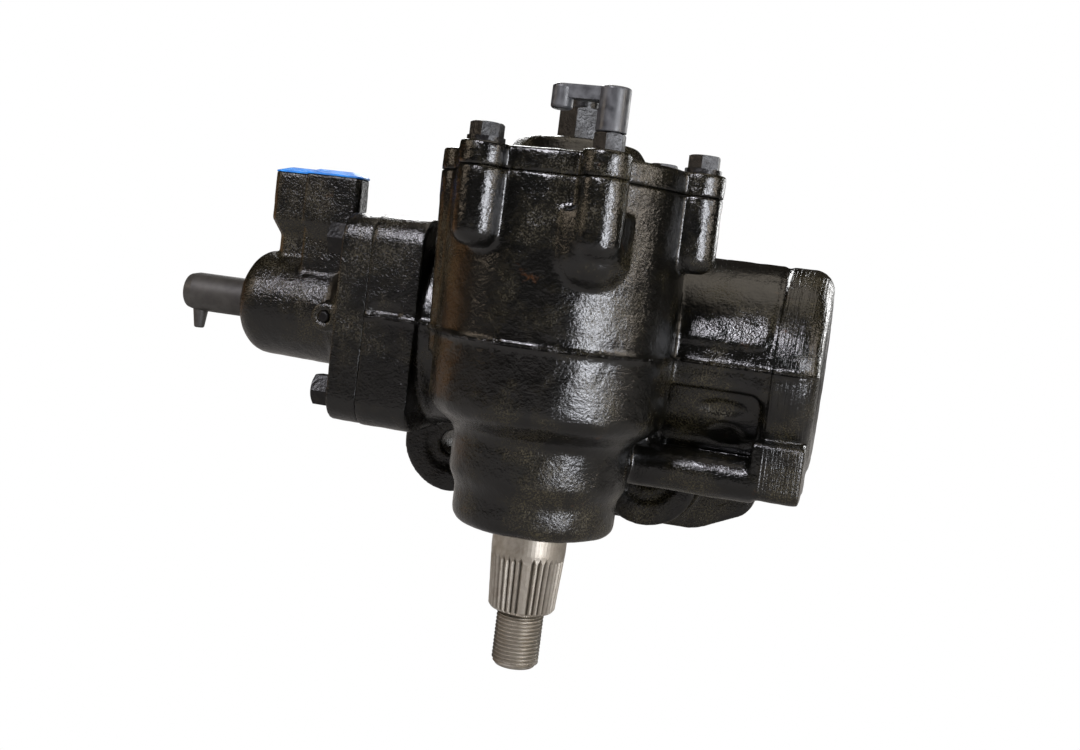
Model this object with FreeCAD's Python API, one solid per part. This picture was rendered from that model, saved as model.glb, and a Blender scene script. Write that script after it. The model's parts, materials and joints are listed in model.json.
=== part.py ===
import FreeCAD, Part
import math
import os

V = FreeCAD.Vector

# Power steering gear with a recirculating-ball rack piston, in millimetres.
# The origin is on the sector shaft's axis at the large end of its serrated taper.
# +X runs along the cylinder to its closed end, +Y to the frame rail, +Z up to the side cover.

# Running gear
module = 5.0
pressure_angle = 25.0
sector_teeth_in_full_circle = 14
sector_teeth = 5
tooth_addendum = 5.0
tooth_dedendum = 6.25
backlash = 0.2
rack_offset = 25.75

# Rack piston and its ball circuit
piston_r = 38.0
piston_left_x = -60.0
piston_right_x = 78.0
rack_half = 46.5
nut_right_x = -2.0
inner_bore_r = 16.0
end_plug_thickness = 9.0
seal_ring_x = 62.0
seal_ring_width = 4.0
seal_ring_depth = 3.4
worm_lead = 13.0
ball_circle_r = 13.0
ball_r = 3.57
groove_r = 3.75
nut_bore_r = 13.7
circuit_turns = 2.5
circuit_start_x = -45.5
guide_r = 4.6
guide_bend_r = 7.0
guide_depth = 14.0
clamp_seat_depth = 20.0
clamp_half_width = 12.0
clamp_half_height = 19.0
clamp_screw_r = 2.0
clamp_screw_head_r = 3.8
clamp_screw_reach = 7.0
clamp_screw_spacing_x = 8.0
clamp_screw_spacing_z = 14.5

# Clearances
running_gap = 0.05
soft_gap = 0.3

# Heights above the pitman arm seat, and the housing's main radii
piston_z = 94.5
body_r = 55.0
chamber_r = 44.0
chamber_floor_drop = 27.5
body_step_drop = 30.0
neck_r = 41.6
neck_top_drop = 39.5
boss_bottom_z = 11.0
boss_r = 38.2
boss_step_low = 17.0
boss_step_high = 24.0
joint_rise = 75.5

# Cylinder and end block, along X
cylinder_r = 50.5
band_rise = 1.2
band_start_x = 98.0
cylinder_end_x = 120.0
cylinder_end_corner_r = 10.0
end_wall = 10.0
flange_joint_x = -99.0
flange_back_x = -72.0
flange_half = 53.0
flange_corner_r = 14.0
end_lug_drop = 7.0
rib_r = 10.5
rear_rib_left_x = 30.0
rear_rib_width = 16.0
pocket_left_x = 48.0
pocket_depth = 4.5
pocket_high_drop = 9.0
pocket_low_drop = 42.0
pad_low_rise = 12.0

# Sector shaft
journal_r = 17.5
taper_length = 28.5
taper_ratio = 8.0
serration_count = 36
serration_depth = 1.25
serration_runout = 3.5
master_land_angle = -75.0
thread_r = 11.1125
thread_length = 25.0
seal_room_r = 7.5
seal_room_length = 21.0
snap_groove_rise = 7.5
snap_groove_width = 1.6
snap_groove_depth = 1.5
snap_ring_width = 1.4
oil_seal_rise = 11.0
oil_seal_wall = 3.5
oil_seal_floor = 3.0
oil_seal_lip_length = 7.0
dust_seal_flange = 3.0
dust_seal_reach = 6.0
dust_seal_proud = 1.5
bearing_wall = 5.0
bearing_length = 26.0
bearing_rise = 26.0
roller_r = 1.5
roller_total = 30
thread_relief_r = 9.8
thread_relief_length = 2.5
sector_half_width = 22.0
sector_hub_r = 24.0
journal_top_rise = 64.0

# Side cover
cover_thickness = 10.0
cover_dome_rise = 20.0
cover_dome_r = 33.0
lobe_offset = 3.5
lobe_r = 10.5
cover_bolt_angles = (-4.0, 58.0, 105.0, 152.0, 242.0)
bleeder_angle = -64.0
bleeder_boss_rise = 1.0
cover_spigot_r = 27.0
cover_pilot_depth = 6.0
bushing_wall = 3.0
bushing_length = 24.0
bushing_drop = 12.0
column_length = 34.0
bulge_r = 17.0
bulge_inset = 8.0
bulge_length = 47.0
bulge_top_drop = 14.0
passage_boss_angle = 190.0
passage_boss_r = 12.0
passage_boss_foot_r = 9.0
passage_boss_reach = 61.5

# Fasteners
cover_bolt_r = 4.0
cover_bolt_depth = 18.0
cover_bolt_af = 13.0
cover_bolt_head_height = 8.0
cover_bolt_flange_r = 8.2
valve_bolt_r = 5.0
valve_bolt_depth = 22.0
valve_bolt_af = 15.0
valve_bolt_head_height = 11.0
valve_bolt_flange_r = 9.0
bolt_flange_height = 2.0
bolt_hole_play = 0.4
tapped_hole_extra = 3.0
valve_bolt_pitch = 77.0
adjuster_r = 7.0
adjuster_head_r = 9.5
adjuster_pocket_depth = 10.0
adjuster_pocket_play = 0.5
adjuster_head_height = 4.0
adjuster_end_rise = 5.0
lock_nut_af = 19.0
lock_nut_height = 14.0

# Frame mounting lugs
lug_hole_r = 6.75
lug_r = 27.0
lug_top_r = 21.0
lug_right_x = 38.0
lug_left_x = -71.5
lug_drop = 64.3
lug_top_x = -10.0
lug_top_rise = 62.0
lug_front_y = 82.0
web_front_y = 96.0
web_right_x = 94.0
web_foot_rise = 14.0
web_shoulder_x = 40.0
web_shoulder_drop = 28.0
web_shoulder_rise = 30.0
web_corner_r = 10.0
mount_face_y = 112.5
spot_face_r = 15.5
spot_face_depth = 1.5

# Valve housing
valve_flange_thickness = 16.5
valve_flange_step = 0.6
valve_shoulder_r = 38.0
valve_body_r = 28.0
valve_nose_x = -186.0
valve_nose_r = 15.0
valve_nose_corner_r = 13.0
spigot_length = 10.0
spigot_wall = 8.0
port_block_left_x = -175.5
port_block_step_x = -151.5
port_block_right_x = -120.5
port_block_front_y = 35.0
port_block_step = 10.0
port_block_back_y = 78.0
port_block_corner = 11.0
port_block_edge_r = 1.5
port_neck_inset = 4.0
port_slope_drop = 6.0
port_slope_rise = 2.0
port_block_base_rise = 43.0
port_block_top_rise = 70.0
port_ridge_r = 3.2
port_ridge_low_rise = 12.0
port_ridge_top_rise = 6.0
port_plug_length = 10.0
port_r = 8.0
port_depth = 16.0
port_wall = 7.5
port_passage_r = 4.0
port_cover_height = 3.0
port_cover_rim = 0.8
port_cover_bevel = 5.0
plug_x = -128.0
plug_drop = 2.0
plug_r = 3.0
plug_boss_r = 7.5
plug_boss_front_y = 24.0
plug_length = 6.6

# Valve and input shaft
sleeve_r = 22.0
sleeve_bore_r = 15.0
sleeve_end_lands = 12.5
worm_crest_r = 12.3
worm_core_r = 13.0
worm_tip_r = 9.0
worm_tip_x = 20.0
worm_thread_left_x = -82.0
worm_thread_right_x = 14.0
race_nut_width = 8.0
sleeve_pin_r = 2.0
sleeve_pin_inset = 3.2
sleeve_seat_gap = 3.0
sleeve_skirt_length = 12.0
sleeve_groove_pitch = 10.5
sleeve_groove_count = 4
sleeve_first_groove = 4.0
sleeve_pin_length = 9.4
worm_flange_r = 22.0
worm_flange_width = 6.0
thrust_width = 5.0
input_r = 9.0
input_journal_r = 11.0
input_end_x = -214.0
input_neck_r = 10.6
input_neck_length = 10.0
input_serration_length = 20.0
input_bearing_wall = 5.0
input_bearing_inset = 14.0
input_seal_inset = 6.0
input_seal_length = 6.5
input_snap_inset = 3.0
input_snap_width = 1.3
input_dust_seal_length = 2.9
spool_gap = 13.0
torsion_head_length = 18.0
torsion_pin_r = 1.5
torsion_pin_inset = 12.0
torsion_tail_reach = 12.0
torsion_bar_r = 3.6
torsion_end_r = 5.0
cap_r = 10.5
cap_end_x = -226.5
cap_taper = 1.2
peg_inset = 7.0
peg_root_depth = 2.0
peg_length = 9.5
peg_root_r = 4.3
peg_tip_r = 2.7

# Bleeder
bleeder_hex_af = 12.0
bleeder_hex_height = 7.0
nipple_r = 3.5
nipple_length = 15.0
bleeder_cap_r = 6.5
bleeder_cap_height = 18.5
bleeder_passage_r = 1.2
bleeder_seat_depth = 7.0
strap_thickness = 6.0
strap_width = 7.0
strap_reach = 22.0
strap_inset = 0.4
knob_r = 4.6
knob_drop = 10.7

# Places that follow from the sizes above
pitch_r = module * sector_teeth_in_full_circle / 2
piston_y = pitch_r + rack_offset
axis_at = (piston_y, piston_z)
joint_z = piston_z + joint_rise
cover_top_z = joint_z + cover_thickness
dome_top_z = joint_z + cover_dome_rise
bore_r = piston_r + running_gap
band_r = cylinder_r + band_rise
cylinder_front_y = piston_y - cylinder_r
bolt_circle_r = body_r + lobe_offset
seal_r = journal_r + seal_room_r
bearing_r = journal_r + bearing_wall
bearing_low_z = boss_bottom_z + bearing_rise
circuit_end_x = circuit_start_x + circuit_turns * worm_lead
circuit_middle_x = (circuit_start_x + circuit_end_x) / 2
clamp_seat_y = piston_y + piston_r - clamp_seat_depth
port_block_base_z = piston_z + port_block_base_rise
port_block_top_z = piston_z + port_block_top_rise
adjuster_pocket_z = piston_z + journal_top_rise - adjuster_pocket_depth
taper_end_r = journal_r - taper_length / taper_ratio / 2
sleeve_length = (sleeve_groove_count - 1) * sleeve_groove_pitch + sleeve_end_lands
valve_flange_x = flange_joint_x - valve_flange_thickness


def rod(radius, low, high, axis="z", at=(0.0, 0.0)):
    """Round bar along an axis; at gives its other two coordinates in x, y, z order."""
    starts = {"x": V(low, at[0], at[1]), "y": V(at[0], low, at[1]), "z": V(at[0], at[1], low)}
    ways = {"x": V(1, 0, 0), "y": V(0, 1, 0), "z": V(0, 0, 1)}
    return Part.makeCylinder(radius, high - low, starts[axis], ways[axis])


def ring(inner_r, outer_r, low, high, axis="z", at=(0.0, 0.0)):
    return rod(outer_r, low, high, axis, at).cut(rod(inner_r, low - 1, high + 1, axis, at))


def block(x_low, x_high, y_low, y_high, z_low, z_high):
    return Part.makeBox(x_high - x_low, y_high - y_low, z_high - z_low, V(x_low, y_low, z_low))


def outline(points, place):
    """Closed wire through (u, v, corner radius) points; place turns u and v into a position."""
    corners = []
    for index, (u, v, radius) in enumerate(points):
        corner = V(u, v, 0)
        before = V(points[index - 1][0], points[index - 1][1], 0) - corner
        following = points[(index + 1) % len(points)]
        after = V(following[0], following[1], 0) - corner
        before.normalize()
        after.normalize()
        if radius <= 0:
            corners.append((corner, None, corner))
            continue
        half = before.getAngle(after) / 2
        back = radius / math.tan(half)
        middle_way = before + after
        middle_way.normalize()
        middle = corner + middle_way * (radius / math.sin(half) - radius)
        corners.append((corner + before * back, middle, corner + after * back))
    edges = []
    for index, (start, middle, end) in enumerate(corners):
        if middle:
            edges.append(Part.Arc(place(start), place(middle), place(end)).toShape())
        onward = corners[(index + 1) % len(corners)][0]
        if (onward - end).Length > 1e-6:
            edges.append(Part.LineSegment(place(end), place(onward)).toShape())
    return Part.Wire(edges)


def turned(points, axis="z", at=(0.0, 0.0)):
    """Solid of revolution from (radius, height along the axis, corner radius) points."""
    if axis == "z":
        face = Part.Face(outline(points, lambda p: V(at[0] + p.x, at[1], p.y)))
        return upright(face.revolve(V(at[0], at[1], 0), V(0, 0, 1), 360))
    if axis == "y":
        face = Part.Face(outline(points, lambda p: V(at[0] + p.x, p.y, at[1])))
        return upright(face.revolve(V(at[0], 0, at[1]), V(0, 1, 0), 360))
    face = Part.Face(outline(points, lambda p: V(p.y, at[0] + p.x, at[1])))
    return upright(face.revolve(V(0, at[0], at[1]), V(1, 0, 0), 360))


def plate(points, low, high, axis="z"):
    """Flat piece from (u, v, corner radius) points, from low to high along an axis."""
    places = {
        "x": lambda p: V(low, p.x, p.y),
        "y": lambda p: V(p.x, low, p.y),
        "z": lambda p: V(p.x, p.y, low),
    }
    ways = {"x": V(high - low, 0, 0), "y": V(0, high - low, 0), "z": V(0, 0, high - low)}
    return upright(Part.Face(outline(points, places[axis])).extrude(ways[axis]))


def upright(solid):
    if solid.Volume < 0:
        solid.reverse()
    return solid


def rectangle(u_low, u_high, v_low, v_high, radius):
    return [(u_low, v_low, radius), (u_high, v_low, radius),
            (u_high, v_high, radius), (u_low, v_high, radius)]


def joined(first, *others):
    return first.fuse(list(others)).removeSplitter()


def cut(first, *tools):
    return first.cut(list(tools))


def around(angle, radius):
    return (radius * math.cos(math.radians(angle)), radius * math.sin(math.radians(angle)))


def prism(across_flats, low, high, at=(0.0, 0.0)):
    """Upright hexagon bar with its corner chamfers at the top."""
    sides = 6
    corner_r = across_flats / 2 / math.cos(math.pi / sides)
    points = []
    for index in range(sides):
        u, v = around(360.0 / sides * (index + 0.5), corner_r)
        points.append((u + at[0], v + at[1], 0))
    chamfer = corner_r - across_flats / 2
    cone = [(0, low - 1, 0), (corner_r + 1, low - 1, 0), (corner_r + 1, high - chamfer, 0),
            (across_flats / 2, high, 0), (0, high, 0)]
    return plate(points, low, high).common(turned(cone, "z", at))


def flange_bolt(shank_r, shank_length, across_flats, head_height, flange_r):
    """Upright hexagon flange bolt that seats at height 0."""
    shank = rod(shank_r, -shank_length, 0)
    flange = rod(flange_r, 0, bolt_flange_height)
    return joined(shank, flange, prism(across_flats, bolt_flange_height, head_height))


def along_x(shape):
    """Turn a shape made about Z so that its axis lies along X through the piston axis."""
    turned_shape = shape.copy()
    turned_shape.rotate(V(0, 0, 0), V(0, 1, 0), 90)
    turned_shape.translate(V(0, piston_y, piston_z))
    return turned_shape


def helix_angle_at(x):
    """Angle of the ball groove at a place along X, from the groove's start at x = 0."""
    return 360.0 * x / worm_lead


def groove_tool(x_low, x_high):
    """Round bar along the ball track from x_low to x_high, wound about Z."""
    helix = Part.makeHelix(worm_lead, x_high - x_low, ball_circle_r)
    tangent = V(0, 2 * math.pi * ball_circle_r, worm_lead)
    section = Part.Wire([Part.Circle(V(ball_circle_r, 0, 0), tangent, groove_r).toShape()])
    tool = Part.Wire(helix).makePipeShell([section], True, True)
    tool.rotate(V(0, 0, 0), V(0, 0, 1), helix_angle_at(x_low))
    tool.translate(V(0, 0, x_low))
    return upright(tool)


def save(name, *shapes):
    """Write the solids of one node to its own file."""
    solids = [solid for shape in shapes for solid in shape.Solids]
    for solid in solids:
        if not solid.isValid():
            print("not valid:", name)
    piece = solids[0] if len(solids) == 1 else Part.makeCompound(solids)
    piece.exportStep("parts/" + name + ".step")
    print(name, len(solids), round(piece.Volume))


def involute_flank(base_r, tip_r, start_angle, side):
    """Points of one flank; start_angle is where the involute leaves the base circle."""
    points = []
    steps = 7
    top = math.sqrt((tip_r / base_r) ** 2 - 1)
    for index in range(steps + 1):
        roll = top * index / steps
        radius = base_r * math.sqrt(1 + roll * roll)
        angle = start_angle + side * (roll - math.atan(roll))
        points.append(V(radius * math.sin(angle), radius * math.cos(angle), 0))
    return points


def sector_tooth(index):
    """One involute tooth, pointing to +Y for index 0."""
    alpha = math.radians(pressure_angle)
    base_r = pitch_r * math.cos(alpha)
    tip_r = pitch_r + tooth_addendum
    root_r = pitch_r - tooth_dedendum
    half_tooth = (math.pi * module / 2 - backlash) / (2 * pitch_r)
    half_base = half_tooth + math.tan(alpha) - alpha
    left = involute_flank(base_r, tip_r, -half_base, 1)
    right = involute_flank(base_r, tip_r, half_base, -1)
    inner = root_r - 2
    foot_left = V(inner * math.sin(-half_base), inner * math.cos(-half_base), 0)
    foot_right = V(inner * math.sin(half_base), inner * math.cos(half_base), 0)
    left_curve = Part.BSplineCurve()
    left_curve.interpolate(left)
    right_curve = Part.BSplineCurve()
    right_curve.interpolate(right[::-1])
    wire = Part.Wire([
        Part.LineSegment(foot_left, left[0]).toShape(),
        left_curve.toShape(),
        Part.Arc(left[-1], V(0, tip_r, 0), right[-1]).toShape(),
        right_curve.toShape(),
        Part.LineSegment(right[0], foot_right).toShape(),
        Part.LineSegment(foot_right, foot_left).toShape(),
    ])
    tooth = upright(Part.Face(wire).extrude(V(0, 0, 2 * sector_half_width)))
    tooth.translate(V(0, 0, piston_z - sector_half_width))
    tooth.rotate(V(0, 0, 0), V(0, 0, 1), 360.0 / sector_teeth_in_full_circle * index)
    return tooth


def serration_tool(angle):
    """Vee groove that follows the taper, with a pointed run-out at its large end."""
    slope = 0.5 / taper_ratio
    half_width = serration_depth * 0.95
    over = 0.6

    def section(z, depth, half):
        surface = journal_r + z * slope
        return [V(surface + over, -half * (1 + over / serration_depth), z),
                V(surface + over, half * (1 + over / serration_depth), z),
                V(surface - depth, 0, z)]

    top = section(-serration_runout, serration_depth, half_width)
    low = section(-taper_length - 1, serration_depth, half_width)
    tip = V(journal_r + 0.1, 0, -0.5)
    prism_faces = [top, low[::-1],
                   [top[0], top[1], low[1], low[0]],
                   [top[1], top[2], low[2], low[1]],
                   [top[2], top[0], low[0], low[2]]]
    runout_faces = [top, [top[0], top[1], tip], [top[1], top[2], tip], [top[2], top[0], tip]]
    tools = []
    for faces in (prism_faces, runout_faces):
        shell = Part.Shell([Part.Face(Part.makePolygon(face + [face[0]])) for face in faces])
        tool = upright(Part.Solid(shell))
        tool.rotate(V(0, 0, 0), V(0, 0, 1), angle)
        tools.append(tool)
    return tools


# Housing

def lug_places():
    return [(lug_right_x, piston_z - lug_drop), (lug_left_x, piston_z - lug_drop),
            (lug_top_x, piston_z + lug_top_rise)]


def valve_bolt_places():
    half = valve_bolt_pitch / 2
    return [(piston_y + side_y * half, piston_z + side_z * half) for side_y in (-1, 1) for side_z in (-1, 1)]


def lobe_column(centre, radius, high, length, end_share):
    """Upright boss with a round lower end; its corners there take a share of its radius."""
    return turned([(0, high - length, 0), (radius, high - length, radius * end_share),
                   (radius, high, 0), (0, high, 0)], "z", centre)


def passage_boss(low, high, top_corner_r):
    """Thick place on the left wall, wider at the top; the cover's share of it stands on the joint."""
    centre = around(passage_boss_angle, passage_boss_reach - passage_boss_r)
    foot_r = passage_boss_foot_r if low < joint_z else passage_boss_r
    return turned([(0, low, 0), (foot_r, low, 0), (passage_boss_r, high, top_corner_r), (0, high, 0)],
                  "z", centre)


def rear_web():
    """Plate behind the castings that carries the three frame lugs."""
    low = piston_z - lug_drop - lug_r
    top = piston_z + lug_top_rise + lug_top_r
    points = [(lug_left_x - lug_r, low, lug_r), (lug_right_x + lug_r, low, lug_r),
              (web_right_x, low + web_foot_rise, web_foot_rise),
              (web_right_x, piston_z - web_shoulder_drop, web_corner_r),
              (web_shoulder_x, piston_z + web_shoulder_rise, web_corner_r),
              (lug_top_x + lug_top_r, top, lug_top_r - 1), (lug_top_x - lug_top_r, top, lug_top_r - 1),
              (lug_left_x - lug_r, piston_z - lug_top_r, lug_top_r)]
    return plate(points, web_front_y, mount_face_y, "y")


def housing_outside():
    bowl = turned([(0, boss_bottom_z, 0), (boss_r, boss_bottom_z, 6),
                   (boss_r, boss_bottom_z + boss_step_low, 4), (neck_r, boss_bottom_z + boss_step_high, 4),
                   (neck_r, piston_z - neck_top_drop, 6),
                   (body_r, piston_z - body_step_drop, 9), (body_r, joint_z, 0), (0, joint_z, 0)])
    barrel_start_x = flange_back_x - 4
    barrel = turned([(0, barrel_start_x, 0), (cylinder_r, barrel_start_x, 0),
                     (cylinder_r, band_start_x, 0), (band_r, band_start_x + 2, 0),
                     (band_r, cylinder_end_x, cylinder_end_corner_r), (0, cylinder_end_x, 0)], "x", axis_at)
    flange = plate(rectangle(piston_y - flange_half, piston_y + flange_half,
                             piston_z - flange_half, piston_z + flange_half, flange_corner_r),
                   flange_joint_x, flange_back_x, "x")
    columns = [lobe_column(around(angle, bolt_circle_r), lobe_r, joint_z, column_length, 0.7)
               for angle in cover_bolt_angles + (bleeder_angle,)]
    columns.append(lobe_column(around(bleeder_angle, body_r - bulge_inset), bulge_r, joint_z - bulge_top_drop,
                               bulge_length - bulge_top_drop, 0.85))
    columns.append(passage_boss(piston_z - passage_boss_foot_r, joint_z, 0))
    lugs = [rod(lug_top_r if place[0] == lug_top_x else lug_r, lug_front_y, mount_face_y, "y", place)
            for place in lug_places()]
    lug_front = cylinder_front_y + 1.75
    lug_top = piston_z - cylinder_r + 20.5
    lug_low = piston_z - cylinder_r - end_lug_drop
    end_lug = plate([(lug_front, lug_top, 2), (lug_front, lug_low, 6), (piston_y + 1, lug_low, 6),
                     (piston_y + 1, lug_top, 2)], band_start_x - 3.5, cylinder_end_x - 1.4, "x")
    rib = rod(rib_r, 20, band_start_x, "x", (cylinder_front_y + rib_r + 1.25, piston_z - cylinder_r + 1))
    rear_rib = plate(rectangle(20, web_front_y + 2, piston_z - 60, piston_z - 31, 3),
                     rear_rib_left_x, rear_rib_left_x + rear_rib_width, "x")
    pad = ring(cylinder_r - 2, band_r, pocket_left_x, band_start_x - 2, "x", axis_at).common(
        plate(rectangle(pocket_left_x, band_start_x - 2, piston_z + pad_low_rise, piston_z + band_r + 5, 5),
              cylinder_front_y - 10, piston_y + 20, "y"))
    return joined(bowl, barrel, flange, rear_web(), end_lug, rib, rear_rib, pad, *(columns + lugs))


def housing_hollows():
    tools = [
        rod(chamber_r, piston_z - chamber_floor_drop, joint_z + 1),
        rod(bore_r, flange_joint_x - 1, cylinder_end_x - end_wall, "x", axis_at),
        rod(bearing_r, bearing_low_z - 6, piston_z),
        rod(seal_r, boss_bottom_z - 1, boss_bottom_z + seal_room_length),
        ring(seal_r - 1, seal_r + snap_groove_depth, boss_bottom_z + snap_groove_rise,
             boss_bottom_z + snap_groove_rise + snap_groove_width),
    ]
    hole_low = joint_z - cover_bolt_depth - tapped_hole_extra
    for angle in cover_bolt_angles:
        place = around(angle, bolt_circle_r)
        tools.append(rod(cover_bolt_r + running_gap, hole_low, joint_z + 1, "z", place))
    for place in valve_bolt_places():
        tools.append(rod(valve_bolt_r + running_gap, flange_joint_x - 1,
                         flange_joint_x + valve_bolt_depth + tapped_hole_extra, "x", place))
    for place in lug_places():
        tools.append(rod(lug_hole_r, lug_front_y - 5, mount_face_y + 1, "y", place))
        tools.append(rod(spot_face_r, lug_front_y - 12, lug_front_y + spot_face_depth, "y", place))
    pocket_right_x = band_start_x - 1
    pocket_skin = ring(cylinder_r - pocket_depth, cylinder_r + 1, pocket_left_x, pocket_right_x, "x", axis_at)
    pocket_window = rectangle(pocket_left_x, pocket_right_x,
                              piston_z - pocket_low_drop, piston_z - pocket_high_drop, 6)
    tools.append(pocket_skin.common(plate(pocket_window, cylinder_front_y - 10, piston_y - 20, "y")))
    return tools


def gear_housing():
    save("gear_housing", cut(housing_outside(), *housing_hollows()))


def sector_bearing_and_seals():
    high = bearing_low_z + bearing_length
    roller_circle = journal_r + roller_r + 0.1
    save("sector_bearing_cup", ring(roller_circle + roller_r + 0.1, bearing_r, bearing_low_z, high))
    rollers = []
    for index in range(roller_total):
        place = around(360.0 / roller_total * index, roller_circle)
        rollers.append(rod(roller_r, bearing_low_z + 1, high - 1, "z", place))
    save("sector_bearing_needles", *rollers)
    lip_r = journal_r + running_gap
    oil_low = boss_bottom_z + oil_seal_rise
    oil_high = boss_bottom_z + seal_room_length - 1
    oil_inner_r = seal_r - oil_seal_wall
    lip_top = oil_low + oil_seal_lip_length
    floor_top = oil_low + oil_seal_floor
    save("sector_oil_seal", turned([(lip_r, oil_low, 0), (seal_r, oil_low, 0), (seal_r, oil_high, 1),
                                    (oil_inner_r, oil_high, 0), (oil_inner_r, floor_top, 1),
                                    (lip_r + 1.5, floor_top, 0), (lip_r + 1.5, lip_top, 0),
                                    (lip_r, lip_top, 0)]))
    snap_low = boss_bottom_z + snap_groove_rise + (snap_groove_width - snap_ring_width) / 2
    snap_high = snap_low + snap_ring_width
    save("sector_seal_washer", ring(journal_r + soft_gap, seal_r - 0.1, snap_high + 0.2, oil_low))
    snap = ring(seal_r - 2.5, seal_r + snap_groove_depth - 0.1, snap_low, snap_high)
    gap = block(-2.5, 2.5, 0, seal_r + 4, boss_bottom_z, oil_low)
    save("sector_snap_ring", cut(snap, gap))
    flange_r = journal_r + dust_seal_flange
    dust_low = boss_bottom_z - dust_seal_proud
    dust_high = boss_bottom_z + dust_seal_reach
    save("sector_dust_seal", turned([(lip_r, dust_low, 0.4), (flange_r, dust_low, 1),
                                     (flange_r, boss_bottom_z + 1, 0), (seal_r - 0.1, boss_bottom_z + 1, 0),
                                     (seal_r - 0.1, dust_high, 0.5), (lip_r, dust_high, 0.5)]))


def sector_shaft():
    root_r = pitch_r - tooth_dedendum
    end_z = -taper_length - thread_relief_length - thread_length
    relief_z = -taper_length - thread_relief_length
    stem = turned([(0, end_z, 0), (thread_r - 2.4, end_z, 0.8), (thread_r, end_z + 2.0, 0.5),
                   (thread_r, relief_z, 0), (thread_relief_r, relief_z + 0.8, 0),
                   (thread_relief_r, -taper_length, 0), (taper_end_r - 1.0, -taper_length, 0),
                   (taper_end_r, -taper_length + 1.2, 0), (journal_r, 0, 0),
                   (journal_r, piston_z - sector_half_width - 3, 1.5),
                   (sector_hub_r, piston_z - sector_half_width, 2),
                   (sector_hub_r, piston_z + sector_half_width, 2),
                   (journal_r, piston_z + sector_half_width + 3, 1.5),
                   (journal_r, piston_z + journal_top_rise, 1), (0, piston_z + journal_top_rise, 0)])
    half_angle = math.radians(360.0 / sector_teeth_in_full_circle * sector_teeth / 2 - 6)
    corner = V(root_r * math.sin(half_angle), root_r * math.cos(half_angle), 0)
    mirror_corner = V(-corner.x, corner.y, 0)
    wedge = Part.Wire([Part.LineSegment(V(0, 0, 0), mirror_corner).toShape(),
                       Part.Arc(mirror_corner, V(0, root_r, 0), corner).toShape(),
                       Part.LineSegment(corner, V(0, 0, 0)).toShape()])
    root = upright(Part.Face(wedge).extrude(V(0, 0, 2 * sector_half_width)))
    root.translate(V(0, 0, piston_z - sector_half_width))
    half_teeth = sector_teeth // 2
    teeth = [sector_tooth(index) for index in range(-half_teeth, half_teeth + 1)]
    shaft = joined(stem, root, *teeth)
    tools = []
    land_pitch = serration_count // 4
    for index in range(serration_count):
        if index % land_pitch:
            tools += serration_tool(master_land_angle + 360.0 / serration_count * index)
    shaft_top = piston_z + journal_top_rise
    tools.append(rod(adjuster_head_r + adjuster_pocket_play, adjuster_pocket_z, shaft_top + 1))
    tools.append(turned([(0, end_z - 1, 0), (3.2, end_z - 1, 0), (3.2, end_z, 0), (0, end_z + 5, 0)]))
    save("sector_shaft", cut(shaft, *tools))
    save("adjuster_retainer", ring(adjuster_r + soft_gap, adjuster_head_r + adjuster_pocket_play,
                                   adjuster_pocket_z + adjuster_head_height + 2 * soft_gap, shaft_top))


# Side cover

def sector_cover():
    disc = turned([(0, joint_z, 0), (body_r, joint_z, 0), (body_r, cover_top_z, 1.5), (0, cover_top_z, 0)])
    dome = turned([(0, cover_top_z - 2, 0), (cover_dome_r, cover_top_z - 2, 0),
                   (cover_dome_r, cover_top_z + 1, 3), (cover_dome_r - 6, dome_top_z - 1.5, 5),
                   (adjuster_r + 7, dome_top_z, 2), (0, dome_top_z, 0)])
    lobe = [(0, joint_z, 0), (lobe_r, joint_z, 0), (lobe_r, cover_top_z, 1.2), (0, cover_top_z, 0)]
    lobes = [turned(lobe, "z", around(angle, bolt_circle_r)) for angle in cover_bolt_angles]
    bleeder_top = cover_top_z + bleeder_boss_rise
    bleeder_lobe = [(0, joint_z, 0), (lobe_r, joint_z, 0), (lobe_r, bleeder_top, 1.5), (0, bleeder_top, 0)]
    lobes.append(turned(bleeder_lobe, "z", around(bleeder_angle, bolt_circle_r)))
    lobes.append(passage_boss(joint_z, cover_top_z, 1.2))
    pilot = rod(chamber_r - 0.1, joint_z - cover_pilot_depth, joint_z)
    bushing_high = joint_z - bushing_drop
    bushing_low = bushing_high - bushing_length
    spigot = rod(cover_spigot_r, bushing_low, joint_z)
    cover = joined(disc, dome, pilot, spigot, *lobes)
    bushing_r = journal_r + running_gap + bushing_wall
    seal_low = joint_z - cover_pilot_depth + 1.5
    seal_high = joint_z - 1.5
    tools = [
        rod(bushing_r, bushing_low - 1, bushing_high + 4),
        rod(adjuster_r + running_gap, bushing_high, dome_top_z + 1),
        ring(chamber_r - 3, chamber_r + 0.5, seal_low, seal_high),
        rod(nipple_r + bolt_hole_play, cover_top_z - bleeder_seat_depth, bleeder_top + 1, "z",
            around(bleeder_angle, bolt_circle_r)),
    ]
    for angle in cover_bolt_angles:
        tools.append(rod(cover_bolt_r + bolt_hole_play, joint_z - 1, cover_top_z + 1, "z",
                         around(angle, bolt_circle_r)))
    save("sector_cover", cut(cover, *tools))
    save("cover_bushing", ring(journal_r + running_gap, bushing_r, bushing_low, bushing_high))
    save("cover_seal_ring", ring(chamber_r - 2.9, chamber_r, seal_low + 0.1, seal_high - 0.1))
    bolts = []
    for angle in cover_bolt_angles:
        bolt = flange_bolt(cover_bolt_r, cover_thickness + cover_bolt_depth, cover_bolt_af,
                           cover_bolt_head_height, cover_bolt_flange_r)
        bolt.translate(V(*around(angle, bolt_circle_r), cover_top_z))
        bolts.append(bolt)
    save("cover_bolts", *bolts)


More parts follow.
